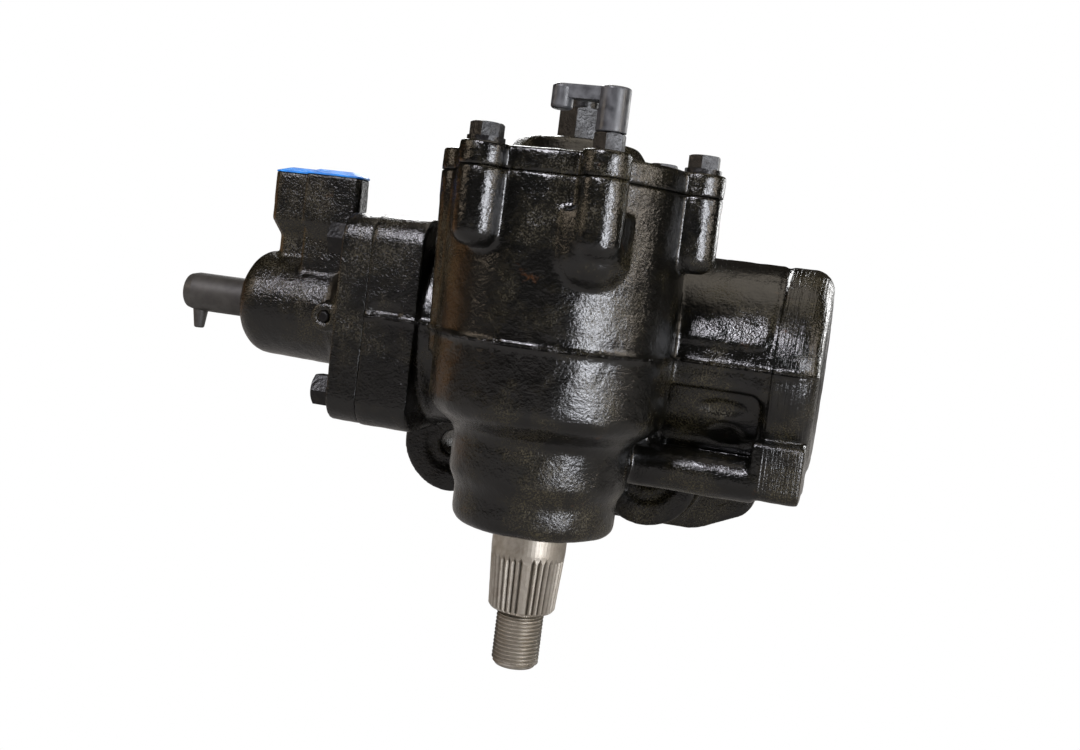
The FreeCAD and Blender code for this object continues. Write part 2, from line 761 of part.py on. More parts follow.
def adjuster():
    head_z = adjuster_pocket_z + soft_gap
    head_top_z = head_z + adjuster_head_height
    nut_top_z = dome_top_z + lock_nut_height
    end_z = nut_top_z + adjuster_end_rise
    screw = turned([(0, head_z, 0), (adjuster_head_r, head_z, 0.4), (adjuster_head_r, head_top_z, 0.4),
                    (adjuster_r, head_top_z, 0), (adjuster_r, end_z, 2), (0, end_z, 0)])
    socket_depth = 5.0
    save("adjuster_screw", cut(screw, prism(socket_depth, end_z - socket_depth, end_z + 1)))
    nut = prism(lock_nut_af, dome_top_z, nut_top_z)
    save("adjuster_lock_nut", cut(nut, rod(adjuster_r + running_gap, dome_top_z - 1, nut_top_z + 1)))


def bleeder():
    centre = around(bleeder_angle, bolt_circle_r)
    base_z = cover_top_z + bleeder_boss_rise
    hex_top = base_z + bleeder_hex_height
    nipple_top = hex_top + nipple_length
    foot_z = base_z - bleeder_seat_depth
    nipple = rod(nipple_r, foot_z, nipple_top, "z", centre)
    body = joined(prism(bleeder_hex_af, base_z, hex_top, centre), nipple)
    save("bleeder_screw", cut(body, rod(bleeder_passage_r, foot_z - 1, nipple_top + 1, "z", centre)))
    low = hex_top + soft_gap
    high = low + bleeder_cap_height
    strap_top = high - strap_inset
    cap = turned([(0, low, 0), (bleeder_cap_r, low, 0.6), (bleeder_cap_r, high, 1.2), (0, high, 0)],
                 "z", centre)
    knob_x = centre[0] - strap_reach
    strap = block(knob_x, centre[0], centre[1] - strap_width / 2, centre[1] + strap_width / 2,
                  high - strap_thickness, strap_top)
    knob = turned([(0, high - knob_drop, 0), (knob_r, high - knob_drop, 1.5), (knob_r, strap_top, 1.5),
                   (0, strap_top, 0)], "z", (knob_x, centre[1]))
    hollow = rod(nipple_r + soft_gap, low - 1, nipple_top + soft_gap, "z", centre)
    save("bleeder_cap", cut(joined(cap, strap, knob), hollow))


# Rack piston and worm

def rack_cutters():
    """The flat that the rack stands in, and the tooth spaces below it."""
    pitch_line_y = piston_y - rack_offset
    tip_y = pitch_line_y - tooth_addendum
    root_y = pitch_line_y + tooth_dedendum + 0.2
    lean = math.tan(math.radians(pressure_angle))
    low_z = piston_z - piston_r
    high_z = piston_z + piston_r
    cutters = [block(-rack_half, rack_half, piston_y - piston_r - 1, tip_y, low_z, high_z)]
    pitch = math.pi * module
    half_space = (pitch / 2 + backlash) / 2
    mouth = half_space + lean * (tooth_addendum + 1)
    floor = half_space - lean * (root_y - pitch_line_y)
    half_teeth = sector_teeth // 2
    for index in range(-half_teeth, half_teeth + 1):
        centre = pitch * index
        points = [(centre - mouth, tip_y - 1, 0), (centre + mouth, tip_y - 1, 0),
                  (centre + floor, root_y, 0), (centre - floor, root_y, 0)]
        cutters.append(plate(points, low_z, high_z))
    return cutters


def guide_path():
    """Ball return path: out of the track at one end, across the back, and in at the other end."""
    low_y = piston_y + 6.0
    high_y = piston_y + piston_r - guide_depth
    high_z = piston_z + ball_circle_r
    low_z = piston_z - ball_circle_r
    points = [V(circuit_start_x, low_y, high_z), V(circuit_start_x, high_y, high_z),
              V(circuit_end_x, high_y, low_z), V(circuit_end_x, low_y, low_z)]
    edges = []
    last = points[0]
    for index in (1, 2):
        corner = points[index]
        before = points[index - 1] - corner
        after = points[index + 1] - corner
        before.normalize()
        after.normalize()
        half = before.getAngle(after) / 2
        back = guide_bend_r / math.tan(half)
        middle_way = before + after
        middle_way.normalize()
        middle = corner + middle_way * (guide_bend_r / math.sin(half) - guide_bend_r)
        start = corner + before * back
        end = corner + after * back
        edges.append(Part.LineSegment(last, start).toShape())
        edges.append(Part.Arc(start, middle, end).toShape())
        last = end
    edges.append(Part.LineSegment(last, points[3]).toShape())
    return Part.Wire(edges)


def pipe(path, radius):
    section = Part.Wire([Part.Circle(path.Vertexes[0].Point, V(0, 1, 0), radius).toShape()])
    return upright(path.makePipeShell([section], True, False))


def clamp_screw_places():
    return [(circuit_middle_x - clamp_screw_spacing_x, piston_z - clamp_screw_spacing_z),
            (circuit_middle_x + clamp_screw_spacing_x, piston_z + clamp_screw_spacing_z)]


def rack_piston():
    body = turned([(0, piston_left_x, 0), (piston_r, piston_left_x, 1), (piston_r, piston_right_x, 1),
                   (0, piston_right_x, 0)], "x", axis_at)
    path = guide_path()
    pocket_half = clamp_half_height + 3
    pocket_outline = rectangle(circuit_start_x - 9, circuit_end_x + 9,
                               piston_z - pocket_half, piston_z + pocket_half, 6)
    pocket = plate(pocket_outline, clamp_seat_y, piston_y + piston_r + 1, "y")
    tools = rack_cutters() + [
        rod(nut_bore_r, piston_left_x - 1, nut_right_x + 1, "x", axis_at),
        rod(inner_bore_r, nut_right_x, piston_right_x + 1, "x", axis_at),
        ring(piston_r - seal_ring_depth - 0.1, piston_r + 1, seal_ring_x, seal_ring_x + seal_ring_width,
             "x", axis_at),
        along_x(groove_tool(circuit_start_x - 1.0, circuit_end_x + 1.0)),
        pocket,
        pipe(path, guide_r + running_gap),
    ]
    for place in clamp_screw_places():
        tools.append(rod(clamp_screw_r + running_gap, clamp_seat_y - clamp_screw_reach - 1, clamp_seat_y + 1,
                         "y", place))
    save("rack_piston", cut(body, *tools))
    save("piston_seal_ring", ring(piston_r - seal_ring_depth, piston_r, seal_ring_x + 0.1,
                                  seal_ring_x + seal_ring_width - 0.1, "x", axis_at))
    key_half = 5.0
    plug = rod(inner_bore_r - 0.02, piston_right_x - end_plug_thickness, piston_right_x, "x", axis_at)
    key_outline = rectangle(piston_y - key_half, piston_y + key_half,
                            piston_z - key_half, piston_z + key_half, 0.5)
    key = plate(key_outline, piston_right_x - key_half, piston_right_x + 1, "x")
    save("piston_end_plug", cut(plug, key))
    save("ball_return_guide", cut(pipe(path, guide_r), pipe(path, groove_r)).cut(
        rod(ball_circle_r + 0.2, piston_left_x, nut_right_x, "x", axis_at)))


def guide_clamp():
    strap = plate(rectangle(circuit_middle_x - clamp_half_width, circuit_middle_x + clamp_half_width,
                            piston_z - clamp_half_height, piston_z + clamp_half_height, 3),
                  clamp_seat_y, piston_y + piston_r, "y")
    channel = pipe(guide_path(), guide_r + running_gap)
    trimmed = cut(strap, channel).common(
        rod(piston_r - 1, circuit_middle_x - 20, circuit_middle_x + 20, "x", axis_at))
    screws = []
    holes = []
    seat_y = clamp_seat_y + 6.5
    for place in clamp_screw_places():
        holes.append(rod(clamp_screw_r + running_gap, clamp_seat_y - 1, seat_y + 1, "y", place))
        holes.append(rod(clamp_screw_head_r + 0.5, seat_y, piston_y + piston_r, "y", place))
        head = rod(clamp_screw_head_r, seat_y, seat_y + 3, "y", place)
        screws.append(joined(head, rod(clamp_screw_r, clamp_seat_y - clamp_screw_reach, seat_y, "y", place)))
    save("guide_clamp", cut(trimmed, *holes))
    save("guide_clamp_screws", *screws)


def recirculating_balls():
    """One ball after another along the track, then through the return guide."""
    balls = []
    turn_length = math.hypot(2 * math.pi * ball_circle_r, worm_lead)
    total = int(circuit_turns * turn_length / (2 * ball_r + 0.35))
    for index in range(total + 1):
        x = circuit_start_x + circuit_turns * worm_lead * index / total
        angle = math.radians(helix_angle_at(x))
        y = piston_y + ball_circle_r * math.sin(angle)
        z = piston_z - ball_circle_r * math.cos(angle)
        balls.append(Part.makeSphere(ball_r, V(x, y, z)))
    path = guide_path()
    spacing = 2 * ball_r + 0.5
    count = int((path.Length - 14) / spacing)
    for place in path.discretize(Distance=spacing)[1:count + 1]:
        if all((place - ball.CenterOfMass).Length > 2 * ball_r + 0.05 for ball in balls):
            balls.append(Part.makeSphere(ball_r, place))
    save("recirculating_balls", *balls)


def valve_levels():
    """Places along X of the worm flange, its two thrust bearings and the valve sleeve."""
    nut_left = flange_joint_x + spigot_length - race_nut_width
    flange_right = nut_left - thrust_width
    flange_left = flange_right - worm_flange_width
    seat = flange_left - thrust_width
    sleeve_right = seat - sleeve_seat_gap
    sleeve_left = sleeve_right - sleeve_length
    return nut_left, flange_right, flange_left, seat, sleeve_right, sleeve_left


def worm():
    nut_left, flange_right, flange_left, seat, sleeve_right, sleeve_left = valve_levels()
    skirt_x = sleeve_right - sleeve_skirt_length
    skirt_r = sleeve_bore_r - running_gap
    body = turned([(0, skirt_x, 0), (skirt_r, skirt_x, 0.5), (skirt_r, flange_left, 0),
                   (worm_flange_r, flange_left, 0.5), (worm_flange_r, flange_right, 0.5),
                   (worm_core_r, flange_right, 0), (worm_core_r, nut_left + 2, 0.5),
                   (worm_crest_r, worm_thread_left_x - 2, 0), (worm_crest_r, worm_thread_right_x, 1),
                   (worm_tip_r, worm_thread_right_x + 1, 0), (worm_tip_r, worm_tip_x, 1), (0, worm_tip_x, 0)])
    grooved = along_x(body.cut(groove_tool(worm_thread_left_x, worm_thread_right_x + 2)))
    pin_x = sleeve_right - sleeve_pin_inset
    pin_at = (pin_x, piston_y)
    pin_hole = rod(sleeve_pin_r, piston_z - sleeve_r - 1, piston_z - sleeve_bore_r + 4, "z", pin_at)
    tools = [
        rod(input_neck_r + 0.4, skirt_x - 1, sleeve_right - sleeve_seat_gap + 1, "x", axis_at),
        rod(torsion_end_r + running_gap, skirt_x - 1, flange_right + torsion_tail_reach + 2, "x", axis_at),
        pin_hole,
    ]
    save("worm_shaft", cut(grooved, *tools))
    outer_r = sleeve_r - running_gap
    sleeve = ring(sleeve_bore_r, outer_r, sleeve_left, sleeve_right, "x", axis_at)
    cuts = [pin_hole]
    rings = []
    for index in range(sleeve_groove_count):
        x = sleeve_left + sleeve_first_groove + sleeve_groove_pitch * index
        cuts.append(ring(sleeve_r - 2.5, sleeve_r + 1, x, x + 2.4, "x", axis_at))
        rings.append(ring(sleeve_r - 2.45, outer_r, x + 0.1, x + 2.3, "x", axis_at))
    for index in range(sleeve_groove_count - 1):
        x = sleeve_left + sleeve_first_groove + 4.2 + sleeve_groove_pitch * index
        cuts.append(ring(sleeve_r - 1.5, sleeve_r + 1, x, x + 4.6, "x", axis_at))
        for turn in range(4):
            hole = rod(1.6, 0, sleeve_r + 1, "z", (x + 2.3, 0))
            hole.rotate(V(0, 0, 0), V(1, 0, 0), 90 * turn + 30 * index)
            hole.translate(V(0, piston_y, piston_z))
            cuts.append(hole)
    save("valve_sleeve", cut(sleeve, *cuts))
    save("sleeve_seal_rings", *rings)
    pin_low = piston_z - sleeve_r + 0.6
    save("sleeve_pin", rod(sleeve_pin_r - 0.02, pin_low, pin_low + sleeve_pin_length, "z", pin_at))


def input_shaft():
    nut_left, flange_right, flange_left, seat, sleeve_right, sleeve_left = valve_levels()
    spool_right = sleeve_right - spool_gap
    spool_r = sleeve_bore_r - running_gap
    end_r = input_r - 0.1
    neck_end_x = spool_right + input_neck_length
    body = turned([(0, input_end_x, 0), (end_r - 0.5, input_end_x, 0), (end_r, input_end_x + 1, 0),
                   (end_r, valve_nose_x - 2.5, 0), (input_journal_r, valve_nose_x - 0.4, 0),
                   (input_journal_r, sleeve_left - 1, 0), (spool_r, sleeve_left, 0.3),
                   (spool_r, spool_right, 0.3), (input_neck_r, spool_right, 0),
                   (input_neck_r, neck_end_x, 0.3), (0, neck_end_x, 0)], "x", axis_at)
    head_x = input_end_x + torsion_head_length
    tools = [rod(torsion_end_r, input_end_x - 1, head_x + 1, "x", axis_at),
             rod(torsion_end_r + 0.2, head_x, neck_end_x + 1, "x", axis_at)]
    for index in range(6):
        slot = block(sleeve_left + 5, spool_right - 5, -2.2, 2.2, sleeve_bore_r - 2.5, sleeve_bore_r + 2)
        slot.rotate(V(0, 0, 0), V(1, 0, 0), 60 * index + 15)
        slot.translate(V(0, piston_y, piston_z))
        tools.append(slot)
    for index in range(36):
        notch = plate([(-0.62, 0.15, 0), (0, -0.8, 0), (0.62, 0.15, 0)],
                      input_end_x - 1, input_end_x + input_serration_length, "x")
        notch.translate(V(0, 0, end_r))
        notch.rotate(V(0, 0, 0), V(1, 0, 0), 10 * index)
        notch.translate(V(0, piston_y, piston_z))
        tools.append(notch)
    pin_place = (input_end_x + torsion_pin_inset, piston_y)
    pin_hole = rod(torsion_pin_r, piston_z - input_r - 1, piston_z + input_r + 1, "z", pin_place)
    save("input_shaft", cut(body, pin_hole, *tools))
    tail_x = flange_right + torsion_tail_reach
    bar = turned([(0, input_end_x + 2, 0), (torsion_end_r, input_end_x + 2, 0.4), (torsion_end_r, head_x, 0),
                  (torsion_bar_r, head_x + 3, 0), (torsion_bar_r, flange_left, 0),
                  (torsion_end_r, flange_left + 2, 0), (torsion_end_r, tail_x, 0.4), (0, tail_x, 0)],
                 "x", axis_at)
    save("torsion_bar", cut(bar, pin_hole))
    pin_half = input_r - 1.2
    save("torsion_bar_pin", rod(torsion_pin_r, piston_z - pin_half, piston_z + pin_half, "z", pin_place))


def transit_cap():
    """Moulded cap pushed over the input shaft's serrations, with a peg near its closed end."""
    open_x = valve_nose_x - 3
    cap = turned([(0, cap_end_x, 0), (cap_r - cap_taper, cap_end_x, 1.2), (cap_r, cap_end_x + 5, 1),
                  (cap_r, open_x, 0.5), (0, open_x, 0)], "x", axis_at)
    peg_low = piston_z - cap_r - peg_length
    peg_root = piston_z - cap_r + peg_root_depth
    peg = turned([(0, peg_low, 0), (peg_tip_r, peg_low, 1), (peg_root_r, peg_root, 0),
                  (peg_root_r, piston_z, 0), (0, piston_z, 0)], "z", (cap_end_x + peg_inset, piston_y))
    hollow = rod(input_r + 0.2, input_end_x - 0.5, open_x + 1, "x", axis_at)
    save("input_transit_cap", cap.fuse(peg).cut(hollow))


# Valve housing

def port_places():
    """The pressure port stands in front, the return port behind and to the left of it."""
    inset = port_r + port_wall
    return [((port_block_step_x + port_block_right_x) / 2 - 1, port_block_front_y + inset),
            (port_block_left_x + inset - 1, port_block_front_y + port_block_step + inset + 1)]


def port_block_outline(inset, corner_r):
    left = port_block_left_x + inset
    step = port_block_step_x + inset
    right = port_block_right_x - inset
    front = port_block_front_y + inset
    left_front = front + port_block_step
    back = port_block_back_y - inset
    corner = port_block_corner
    return [(left, left_front + 4, corner_r), (left + 4, left_front, corner_r),
            (step - 1, left_front, corner_r), (step, front, corner_r),
            (right - 2.5, front, corner_r), (right, front + 2.5, corner_r),
            (right, front + corner, corner_r), (right - 2 * corner, back, 4),
            (left + corner, back, 4), (left, back - corner, 4)]


def valve_housing():
    nut_left, flange_right, flange_left, seat, sleeve_right, sleeve_left = valve_levels()
    half = flange_half - valve_flange_step
    flange_outline = rectangle(piston_y - half, piston_y + half,
                               piston_z - half, piston_z + half, flange_corner_r)
    flange = plate(flange_outline, valve_flange_x, flange_joint_x, "x")
    spigot_r = piston_r - 0.1
    spigot_end_x = flange_joint_x + spigot_length
    spigot = rod(spigot_r, flange_joint_x - 1, spigot_end_x, "x", axis_at)
    shoulder_x = valve_flange_x - 6
    barrel = turned([(0, flange_joint_x - 2, 0), (valve_shoulder_r, flange_joint_x - 2, 0),
                     (valve_shoulder_r, shoulder_x, 5), (valve_body_r + 1, shoulder_x - 8, 7),
                     (valve_body_r, valve_nose_x + 2, valve_nose_corner_r), (valve_nose_r, valve_nose_x, 1),
                     (0, valve_nose_x, 0)], "x", axis_at)
    slope_low_z = port_block_base_z - port_slope_drop
    slope_high_z = port_block_base_z + port_slope_rise
    port_block = plate(port_block_outline(0, port_block_edge_r), slope_high_z, port_block_top_z)
    slope = upright(Part.makeLoft([
        outline(port_block_outline(port_neck_inset, port_block_edge_r), lambda p: V(p.x, p.y, slope_low_z)),
        outline(port_block_outline(0, port_block_edge_r), lambda p: V(p.x, p.y, slope_high_z)),
    ], True, True))
    neck = plate(port_block_outline(port_neck_inset, port_block_edge_r), piston_z, slope_low_z)
    ridge = rod(port_ridge_r, piston_z + port_ridge_low_rise, port_block_base_z + port_ridge_top_rise, "z",
                (port_block_step_x + 2, port_block_front_y + 7))
    plug_at = (plug_x, piston_z - plug_drop)
    plug_boss = rod(plug_boss_r, plug_boss_front_y, piston_y, "y", plug_at)
    outside = joined(flange, spigot, barrel, port_block, slope, neck, ridge, plug_boss)
    bearing_outer_r = input_journal_r + input_bearing_wall
    nose_bore_r = input_journal_r + 2.5
    tools = [
        rod(spigot_r - spigot_wall, seat, spigot_end_x + 1, "x", axis_at),
        rod(sleeve_r, sleeve_left - 1, seat + 1, "x", axis_at),
        rod(bearing_outer_r, valve_nose_x + input_bearing_inset - 1, sleeve_left, "x", axis_at),
        rod(nose_bore_r, valve_nose_x - 1, valve_nose_x + input_bearing_inset, "x", axis_at),
        ring(nose_bore_r - 0.5, nose_bore_r + 0.9, valve_nose_x + input_snap_inset,
             valve_nose_x + input_snap_inset + input_snap_width, "x", axis_at),
        ring(piston_r - 3.1, piston_r + 1, flange_joint_x + 3, flange_joint_x + 6, "x", axis_at),
        rod(plug_r, plug_boss_front_y - 2, plug_boss_front_y + plug_length - 0.6, "y", plug_at),
    ]
    for place in port_places():
        tools.append(rod(port_r, port_block_top_z - port_depth, port_block_top_z + 1, "z", place))
        tools.append(rod(port_passage_r, piston_z + 10, port_block_top_z, "z", place))
    for place in valve_bolt_places():
        tools.append(rod(valve_bolt_r + bolt_hole_play, valve_flange_x - 1, flange_joint_x + 1, "x", place))
        tools.append(rod(valve_bolt_flange_r + 1, valve_flange_x - 30, valve_flange_x, "x", place))
    save("valve_housing", cut(outside, *tools))
    save("valve_housing_seal", ring(piston_r - 3.0, piston_r, flange_joint_x + 3.1, flange_joint_x + 5.9,
                                    "x", axis_at))
    plug_low = plug_boss_front_y - 0.8
    plug_high = plug_low + plug_length
    save("pressed_plug", turned([(0, plug_low, 0), (plug_r, plug_low, 1.2), (plug_r, plug_high, 0.4),
                                 (0, plug_high, 0)], "y", plug_at))
    bolts = []
    for u, v in valve_bolt_places():
        bolt = flange_bolt(valve_bolt_r, valve_flange_thickness + valve_bolt_depth, valve_bolt_af,
                           valve_bolt_head_height, valve_bolt_flange_r)
        bolt.rotate(V(0, 0, 0), V(0, 1, 0), -90)
        bolt.translate(V(valve_flange_x, u, v))
        bolts.append(bolt)
    save("valve_housing_bolts", *bolts)
    seat_z = port_block_top_z - port_depth
    save("port_seats", *[ring(port_passage_r - 1.8, port_passage_r, seat_z - 4, seat_z + 3, "z", place)
                         for place in port_places()])


def port_cover():
    """Moulded plug plate over both ports, with a bevelled edge."""
    rim_z = port_block_top_z + port_cover_rim
    lower = outline(port_block_outline(0, 1), lambda p: V(p.x, p.y, rim_z))
    upper = outline(port_block_outline(port_cover_bevel, 1),
                    lambda p: V(p.x, p.y, port_block_top_z + port_cover_height))
    slab = plate(port_block_outline(0, 1), port_block_top_z, rim_z).fuse(
        upright(Part.makeLoft([lower, upper], True, True)))
    plugs = [rod(port_r - soft_gap, port_block_top_z - port_plug_length, port_block_top_z + 1, "z", place)
             for place in port_places()]
    save("port_cover", joined(slab, *plugs))


def thrust_bearing(name, low):
    """Two washers with a ring of balls between them."""
    high = low + thrust_width
    washer = 1.2
    inner = sleeve_bore_r + soft_gap
    outer = worm_flange_r - 0.5
    pieces = [ring(inner, outer, low + 0.02, low + washer, "x", axis_at),
              ring(inner, outer, high - washer, high - 0.02, "x", axis_at)]
    total = 18
    for index in range(total):
        u, v = around(360.0 / total * index, (inner + outer) / 2)
        centre = V((low + high) / 2, piston_y + u, piston_z + v)
        pieces.append(Part.makeSphere(thrust_width / 2 - washer, centre))
    save(name, *pieces)


def valve_housing_internals():
    nut_left, flange_right, flange_left, seat, sleeve_right, sleeve_left = valve_levels()
    thrust_bearing("thrust_bearing_rear", flange_right)
    thrust_bearing("thrust_bearing_front", seat)
    race_nut = ring(worm_core_r + soft_gap, piston_r - 0.1 - spigot_wall, nut_left,
                    flange_joint_x + spigot_length - soft_gap, "x", axis_at)
    holes = []
    for index in range(4):
        u, v = around(90 * index, worm_flange_r)
        holes.append(rod(2.0, nut_left + 3, nut_left + race_nut_width, "x", (piston_y + u, piston_z + v)))
    save("worm_race_nut", cut(race_nut, *holes))
    bearing_low = valve_nose_x + input_bearing_inset
    bearing_high = sleeve_left - 2
    save("input_bearing", ring(input_journal_r + 2.2, input_journal_r + input_bearing_wall,
                               bearing_low, bearing_high, "x", axis_at))
    needles = []
    for index in range(24):
        u, v = around(15 * index, input_journal_r + 1.1)
        needles.append(rod(1.0, bearing_low + 0.5, bearing_high - 0.5, "x", (piston_y + u, piston_z + v)))
    save("input_bearing_needles", *needles)
    lip_r = input_journal_r + running_gap
    bore = input_journal_r + 2.5
    oil_left = valve_nose_x + input_seal_inset
    oil_right = oil_left + input_seal_length
    save("input_oil_seal", turned([(lip_r, oil_left, 0), (bore, oil_left, 0), (bore, oil_right, 0.5),
                                   (lip_r, oil_right, 0.5)], "x", axis_at))
    snap_left = valve_nose_x + input_snap_inset + 0.1
    snap_right = snap_left + input_snap_width - 0.2
    snap = ring(bore - 1.7, bore + 0.8, snap_left, snap_right, "x", axis_at)
    snap_gap = block(valve_nose_x, oil_left, piston_y - 2, piston_y + 2, piston_z, piston_z + bore + 2)
    save("input_snap_ring", cut(snap, snap_gap))
    dust_right = valve_nose_x + input_dust_seal_length
    save("input_dust_seal", turned([(lip_r, dust_right, 0), (bore - 0.1, dust_right, 0),
                                    (bore - 0.1, valve_nose_x, 0), (bore - 0.7, valve_nose_x - 1.5, 0.4),
                                    (bore - 1.8, valve_nose_x - 1.5, 0.3), (lip_r, valve_nose_x - 0.3, 0)],
                                   "x", axis_at))


os.makedirs("parts", exist_ok=True)
gear_housing()
sector_bearing_and_seals()
sector_shaft()
sector_cover()
adjuster()
bleeder()
rack_piston()
guide_clamp()
recirculating_balls()
worm()
input_shaft()
transit_cap()
valve_housing()
port_cover()
valve_housing_internals()
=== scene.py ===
import json
import math

import bmesh
import bpy
from mathutils import Matrix, Vector, noise


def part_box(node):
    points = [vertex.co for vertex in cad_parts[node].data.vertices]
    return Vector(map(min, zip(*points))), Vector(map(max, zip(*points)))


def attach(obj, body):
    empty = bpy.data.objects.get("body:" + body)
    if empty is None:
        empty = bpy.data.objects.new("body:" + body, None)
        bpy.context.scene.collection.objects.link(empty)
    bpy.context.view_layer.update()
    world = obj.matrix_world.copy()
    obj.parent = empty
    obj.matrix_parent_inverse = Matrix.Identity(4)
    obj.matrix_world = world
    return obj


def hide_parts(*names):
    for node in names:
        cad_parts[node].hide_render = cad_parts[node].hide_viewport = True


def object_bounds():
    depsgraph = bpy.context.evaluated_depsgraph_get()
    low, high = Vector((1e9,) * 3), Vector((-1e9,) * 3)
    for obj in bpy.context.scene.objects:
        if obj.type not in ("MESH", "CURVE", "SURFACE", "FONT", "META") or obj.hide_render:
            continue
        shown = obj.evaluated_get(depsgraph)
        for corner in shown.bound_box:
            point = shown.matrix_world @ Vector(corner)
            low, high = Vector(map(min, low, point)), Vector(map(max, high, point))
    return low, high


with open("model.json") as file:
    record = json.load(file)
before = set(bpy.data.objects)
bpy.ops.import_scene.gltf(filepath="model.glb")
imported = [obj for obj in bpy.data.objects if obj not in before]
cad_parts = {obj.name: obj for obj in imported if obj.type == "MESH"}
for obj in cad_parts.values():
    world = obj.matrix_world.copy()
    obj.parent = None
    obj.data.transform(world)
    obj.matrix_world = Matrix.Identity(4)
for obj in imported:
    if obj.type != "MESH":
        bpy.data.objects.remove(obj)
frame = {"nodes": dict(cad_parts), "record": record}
cad_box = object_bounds()
nodes = frame["nodes"]
MM = 0.001

# Places taken from the solids
shaft_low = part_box("sector_shaft")[0]
housing_low, housing_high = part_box("gear_housing")
cover_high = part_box("sector_cover")[1]
sleeve_low, sleeve_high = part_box("valve_sleeve")
piston_axis = (sleeve_low + sleeve_high) / 2

# The mould's parting line, the turned band at the cylinder's right end, and the back of its left flange
parting_rise = 2.5 * MM
parting_z = piston_axis.z + parting_rise
band_start = 99.0 * MM
flange_back = -76.0 * MM

# Camera: the photograph's place and tilt, found from the shaft's axis, the parting line and the edges
camera_place = Vector((0.135, -0.5373, 0.129))
camera_yaw = math.radians(14.6)
camera_pitch = math.radians(4.9)
camera_roll = math.radians(7.15)
photo_width_px = 1080
focal_px = 1200
sensor_mm = 36.0
nearest_seen_m = 0.01


def add_camera():
    """The photograph's camera, from its yaw, pitch and roll."""
    right = Vector((math.cos(camera_yaw), math.sin(camera_yaw), 0))
    level = Vector((-math.sin(camera_yaw), math.cos(camera_yaw), 0))
    forward = level * math.cos(camera_pitch) - Vector((0, 0, math.sin(camera_pitch)))
    up = right.cross(forward)
    picture_right = right * math.cos(camera_roll) + up * math.sin(camera_roll)
    picture_up = up * math.cos(camera_roll) - right * math.sin(camera_roll)
    data = bpy.data.cameras.new("photo_camera")
    data.sensor_width = sensor_mm
    data.lens = sensor_mm * focal_px / photo_width_px
    data.clip_start = nearest_seen_m
    camera = bpy.data.objects.new("photo_camera", data)
    bpy.context.scene.collection.objects.link(camera)
    turn = Matrix((picture_right, picture_up, -forward)).transposed()
    camera.matrix_world = Matrix.Translation(camera_place) @ turn.to_4x4()
    bpy.context.scene.camera = camera


# Shader nodes

# Sockets of a Mix node that mixes colours
mix_amount, mix_first, mix_second, mix_result = 0, 6, 7, 2


def linear(colour):
    """An sRGB hex colour as linear red, green, blue and alpha."""
    parts = [int(colour[index:index + 2], 16) / 255 for index in (1, 3, 5)]
    return tuple(c / 12.92 if c <= 0.04045 else ((c + 0.055) / 1.055) ** 2.4 for c in parts) + (1.0,)


def add(tree, kind, inputs=None, **settings):
    """One shader node; an input is a value, or an output socket to link from."""
    made = tree.nodes.new(kind)
    for key, value in settings.items():
        setattr(made, key, value)
    for key, value in (inputs or {}).items():
        if isinstance(value, bpy.types.NodeSocket):
            tree.links.new(value, made.inputs[key])
        else:
            made.inputs[key].default_value = value
    return made


def new_material(name):
    """A material with its output and a Principled shader, and the object coordinates."""
    material = bpy.data.materials.new(name)
    material.use_nodes = True
    tree = material.node_tree
    tree.nodes.clear()
    shader = add(tree, "ShaderNodeBsdfPrincipled")
    add(tree, "ShaderNodeOutputMaterial", {"Surface": shader.outputs["BSDF"]})
    place = add(tree, "ShaderNodeTexCoord").outputs["Object"]
    return material, tree, shader, place


def connect(tree, shader, **sockets):
    """Link colour, roughness and normal to the shader."""
    names = {"base": "Base Color", "rough": "Roughness", "normal": "Normal"}
    for key, value in sockets.items():
        tree.links.new(value, shader.inputs[names[key]])


def pattern(tree, place, size_mm, detail=3.0, rough=0.55):
    """Noise whose blotches are about size_mm across, from 0 to 1."""
    inputs = {"Vector": place, "Scale": 1 / (size_mm * MM), "Detail": detail, "Roughness": rough}
    return add(tree, "ShaderNodeTexNoise", inputs).outputs["Fac"]


def stretched(tree, place, scale):
    """Coordinates that a pattern is drawn out in, along each axis with a small scale."""
    return add(tree, "ShaderNodeMapping", {"Vector": place, "Scale": scale}).outputs["Vector"]


def along(tree, place, axis):
    return add(tree, "ShaderNodeSeparateXYZ", {"Vector": place}).outputs[axis]


def between(tree, amount, low, high, start=0.35, end=0.65):
    """A number that goes from low to high as amount goes from start to end."""
    inputs = {"Value": amount, "From Min": start, "From Max": end, "To Min": low, "To Max": high}
    return add(tree, "ShaderNodeMapRange", inputs).outputs["Result"]


def after(tree, place, axis, start, blend_mm):
    """0 before a place along an axis of the object, 1 after it."""
    return between(tree, along(tree, place, axis), 0.0, 1.0, start, start + blend_mm * MM)


def maths(tree, operation, first, second=0.0):
    return add(tree, "ShaderNodeMath", {0: first, 1: second}, operation=operation).outputs[0]


def times(tree, first, second):
    return maths(tree, "MULTIPLY", first, second)


def tint(tree, amount, first, second):
    """First colour at amount 0, second at 1; each is a hex colour or an output socket."""
    first, second = (linear(colour) if isinstance(colour, str) else colour for colour in (first, second))
    inputs = {mix_amount: amount, mix_first: first, mix_second: second}
    return add(tree, "ShaderNodeMix", inputs, data_type="RGBA").outputs[mix_result]


def bump(tree, height, depth_mm, strength=1.0, below=None):
    """A normal from a height, on top of another normal where below is given."""
    inputs = {"Height": height, "Distance": depth_mm * MM, "Strength": strength}
    if below:
        inputs["Normal"] = below
    return add(tree, "ShaderNodeBump", inputs).outputs["Normal"]


# Marks that the materials draw

flash_half_width = 0.9 * MM
taper_low = -28.5 * MM
taper_low_r = 15.72 * MM
taper_high_r = 17.5 * MM
serrations_low = -28.0 * MM
serrations_high = -0.2 * MM


